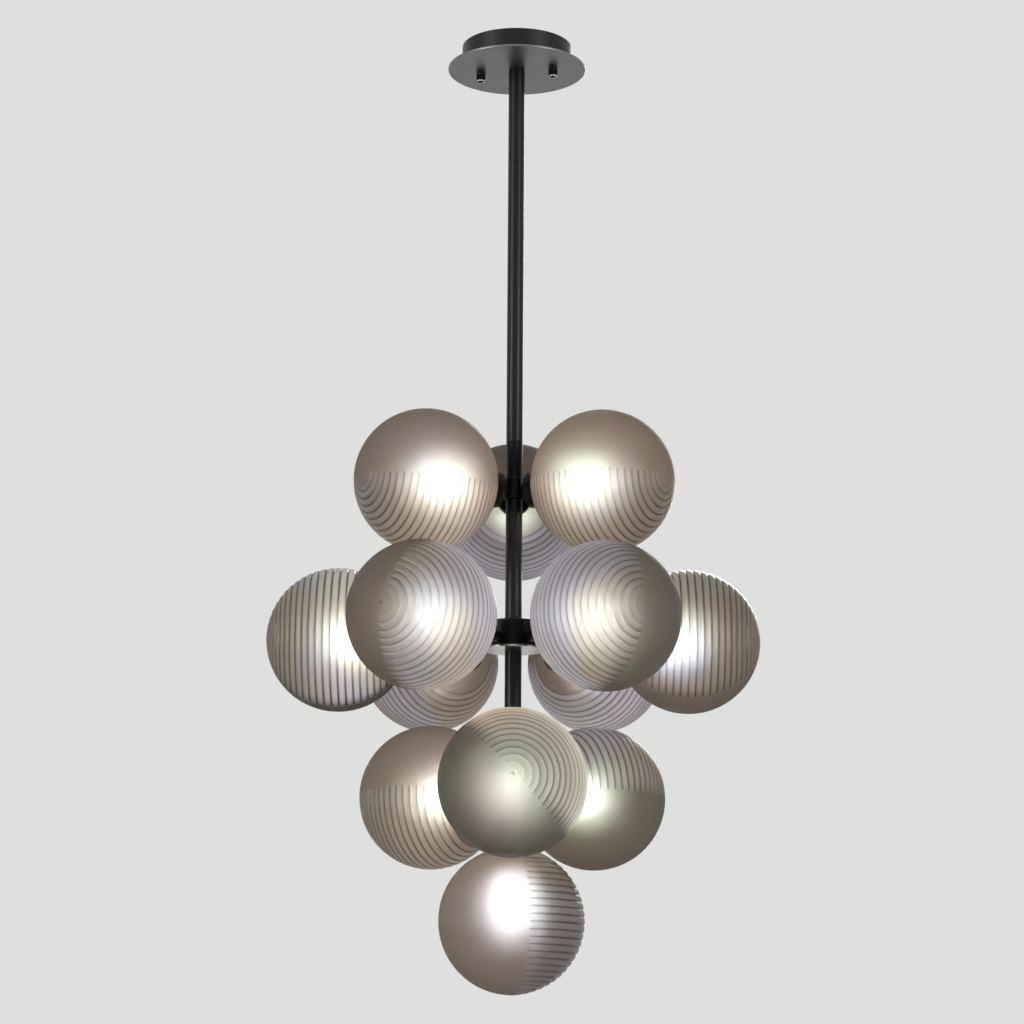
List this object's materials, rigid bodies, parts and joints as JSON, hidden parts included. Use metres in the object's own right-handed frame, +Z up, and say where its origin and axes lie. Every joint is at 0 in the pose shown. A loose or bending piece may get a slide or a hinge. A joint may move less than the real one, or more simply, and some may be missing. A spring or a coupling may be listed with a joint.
{
  "type": "chandelier",
  "caption": "Tiered ceiling chandelier: half-reeded smoked glass globes in black cups, on necks and arms round hubs along a slim stem, under a round canopy with a ceiling strap.",
  "frame": {"origin": "middle of the ceiling face of the fixing strap, on the stem's axis", "axes": "+Z up along the stem towards the ceiling, -Y towards the front of the light, +X to its right seen from the front"},
  "size_m": [0.5144, 0.4654, 1.0191],
  "materials": {
    "smoked_glass": "smoked glass, frosted inside, one half reeded",
    "lamp_glass": "opal",
    "black_steel": "satin black",
    "dark_satin": "satin dark grey",
    "satin_plate": "satin",
    "zinc_steel": "zinc plated",
    "white_plastic": "moulded"
  },
  "bodies": {
    "fixture": {"ceiling_strap": "zinc_steel", "canopy_drum": "dark_satin", "canopy_plate": "satin_plate", "stem_lock_nut": "zinc_steel", "terminal_block": "white_plastic", "upper_stem": "dark_satin", "middle_stem": "dark_satin", "tier_1_hub": "black_steel", "first_spacer_stem": "dark_satin", "tier_2_hub": "black_steel", "tier_2_hub_cover": "satin_plate", "second_spacer_stem": "dark_satin", "tier_3_hub": "black_steel", "tier_1_left_cup": "black_steel", "tier_1_left_lamp": "lamp_glass", "tier_1_right_cup": "black_steel", "tier_1_right_lamp": "lamp_glass", "tier_1_back_cup": "black_steel", "tier_1_back_lamp": "lamp_glass", "tier_2_front_left_cup": "black_steel", "tier_2_front_left_lamp": "lamp_glass", "tier_2_front_left_arm": "dark_satin", "tier_2_front_right_cup": "black_steel", "tier_2_front_right_lamp": "lamp_glass", "tier_2_front_right_arm": "dark_satin", "tier_2_left_cup": "black_steel", "tier_2_left_lamp": "lamp_glass", "tier_2_left_arm": "dark_satin", "tier_2_right_cup": "black_steel", "tier_2_right_lamp": "lamp_glass", "tier_2_right_arm": "dark_satin", "tier_2_back_left_cup": "black_steel", "tier_2_back_left_lamp": "lamp_glass", "tier_2_back_left_arm": "dark_satin", "tier_2_back_right_cup": "black_steel", "tier_2_back_right_lamp": "lamp_glass", "tier_2_back_right_arm": "dark_satin", "tier_3_front_cup": "black_steel", "tier_3_front_lamp": "lamp_glass", "tier_3_left_cup": "black_steel", "tier_3_left_lamp": "lamp_glass", "tier_3_right_cup": "black_steel", "tier_3_right_lamp": "lamp_glass", "bottom_cup": "black_steel", "bottom_lamp": "lamp_glass"},
    "tier_1_left_globe": {"tier_1_left_globe": "smoked_glass"},
    "tier_1_right_globe": {"tier_1_right_globe": "smoked_glass"},
    "tier_1_back_globe": {"tier_1_back_globe": "smoked_glass"},
    "tier_2_front_left_globe": {"tier_2_front_left_globe": "smoked_glass"},
    "tier_2_front_right_globe": {"tier_2_front_right_globe": "smoked_glass"},
    "tier_2_left_globe": {"tier_2_left_globe": "smoked_glass"},
    "tier_2_right_globe": {"tier_2_right_globe": "smoked_glass"},
    "tier_2_back_left_globe": {"tier_2_back_left_globe": "smoked_glass"},
    "tier_2_back_right_globe": {"tier_2_back_right_globe": "smoked_glass"},
    "tier_3_front_globe": {"tier_3_front_globe": "smoked_glass"},
    "tier_3_left_globe": {"tier_3_left_globe": "smoked_glass"},
    "tier_3_right_globe": {"tier_3_right_globe": "smoked_glass"},
    "bottom_globe": {"bottom_globe": "smoked_glass"},
    "cap_nut_left": {"cap_nut_left": "black_steel"},
    "cap_nut_right": {"cap_nut_right": "black_steel"}
  },
  "joints": [
    {"name": "tier_1_left_globe_turn", "type": "hinge", "parent": "fixture", "child": "tier_1_left_globe", "pos_m": [-0.09152, -0.05284, -0.4957], "axis": [-0.866, -0.5, 0], "continuous": true},
    {"name": "tier_1_right_globe_turn", "type": "hinge", "parent": "fixture", "child": "tier_1_right_globe", "pos_m": [0.09152, -0.05284, -0.4957], "axis": [0.866, -0.5, 0], "continuous": true},
    {"name": "tier_1_back_globe_turn", "type": "hinge", "parent": "fixture", "child": "tier_1_back_globe", "pos_m": [0, 0.10568, -0.4957], "axis": [0, 1, 0], "continuous": true},
    {"name": "tier_2_front_left_globe_turn", "type": "hinge", "parent": "fixture", "child": "tier_2_front_left_globe", "pos_m": [-0.09116, -0.1579, -0.6546], "axis": [-0.5, -0.866, 0], "continuous": true},
    {"name": "tier_2_front_right_globe_turn", "type": "hinge", "parent": "fixture", "child": "tier_2_front_right_globe", "pos_m": [0.09116, -0.1579, -0.6546], "axis": [0.5, -0.866, 0], "continuous": true},
    {"name": "tier_2_left_globe_turn", "type": "hinge", "parent": "fixture", "child": "tier_2_left_globe", "pos_m": [-0.18233, 0, -0.6546], "axis": [-1, 0, 0], "continuous": true},
    {"name": "tier_2_right_globe_turn", "type": "hinge", "parent": "fixture", "child": "tier_2_right_globe", "pos_m": [0.18233, 0, -0.6546], "axis": [1, 0, 0], "continuous": true},
    {"name": "tier_2_back_left_globe_turn", "type": "hinge", "parent": "fixture", "child": "tier_2_back_left_globe", "pos_m": [-0.09116, 0.1579, -0.6546], "axis": [-0.5, 0.866, 0], "continuous": true},
    {"name": "tier_2_back_right_globe_turn", "type": "hinge", "parent": "fixture", "child": "tier_2_back_right_globe", "pos_m": [0.09116, 0.1579, -0.6546], "axis": [0.5, 0.866, 0], "continuous": true},
    {"name": "tier_3_front_globe_turn", "type": "hinge", "parent": "fixture", "child": "tier_3_front_globe", "pos_m": [0, -0.09848, -0.8134], "axis": [0, -1, 0], "continuous": true},
    {"name": "tier_3_left_globe_turn", "type": "hinge", "parent": "fixture", "child": "tier_3_left_globe", "pos_m": [-0.08529, 0.04924, -0.8134], "axis": [-0.866, 0.5, 0], "continuous": true},
    {"name": "tier_3_right_globe_turn", "type": "hinge", "parent": "fixture", "child": "tier_3_right_globe", "pos_m": [0.08529, 0.04924, -0.8134], "axis": [0.866, 0.5, 0], "continuous": true},
    {"name": "bottom_globe_turn", "type": "hinge", "parent": "fixture", "child": "bottom_globe", "pos_m": [0, 0, -0.9442], "axis": [0, 0, -1], "continuous": true},
    {"name": "cap_nut_left_turn", "type": "hinge", "parent": "fixture", "child": "cap_nut_left", "pos_m": [-0.03913, 0.00832, -0.0266], "axis": [0, 0, -1], "continuous": true},
    {"name": "cap_nut_right_turn", "type": "hinge", "parent": "fixture", "child": "cap_nut_right", "pos_m": [0.03913, -0.00832, -0.0266], "axis": [0, 0, -1], "continuous": true}
  ]
}
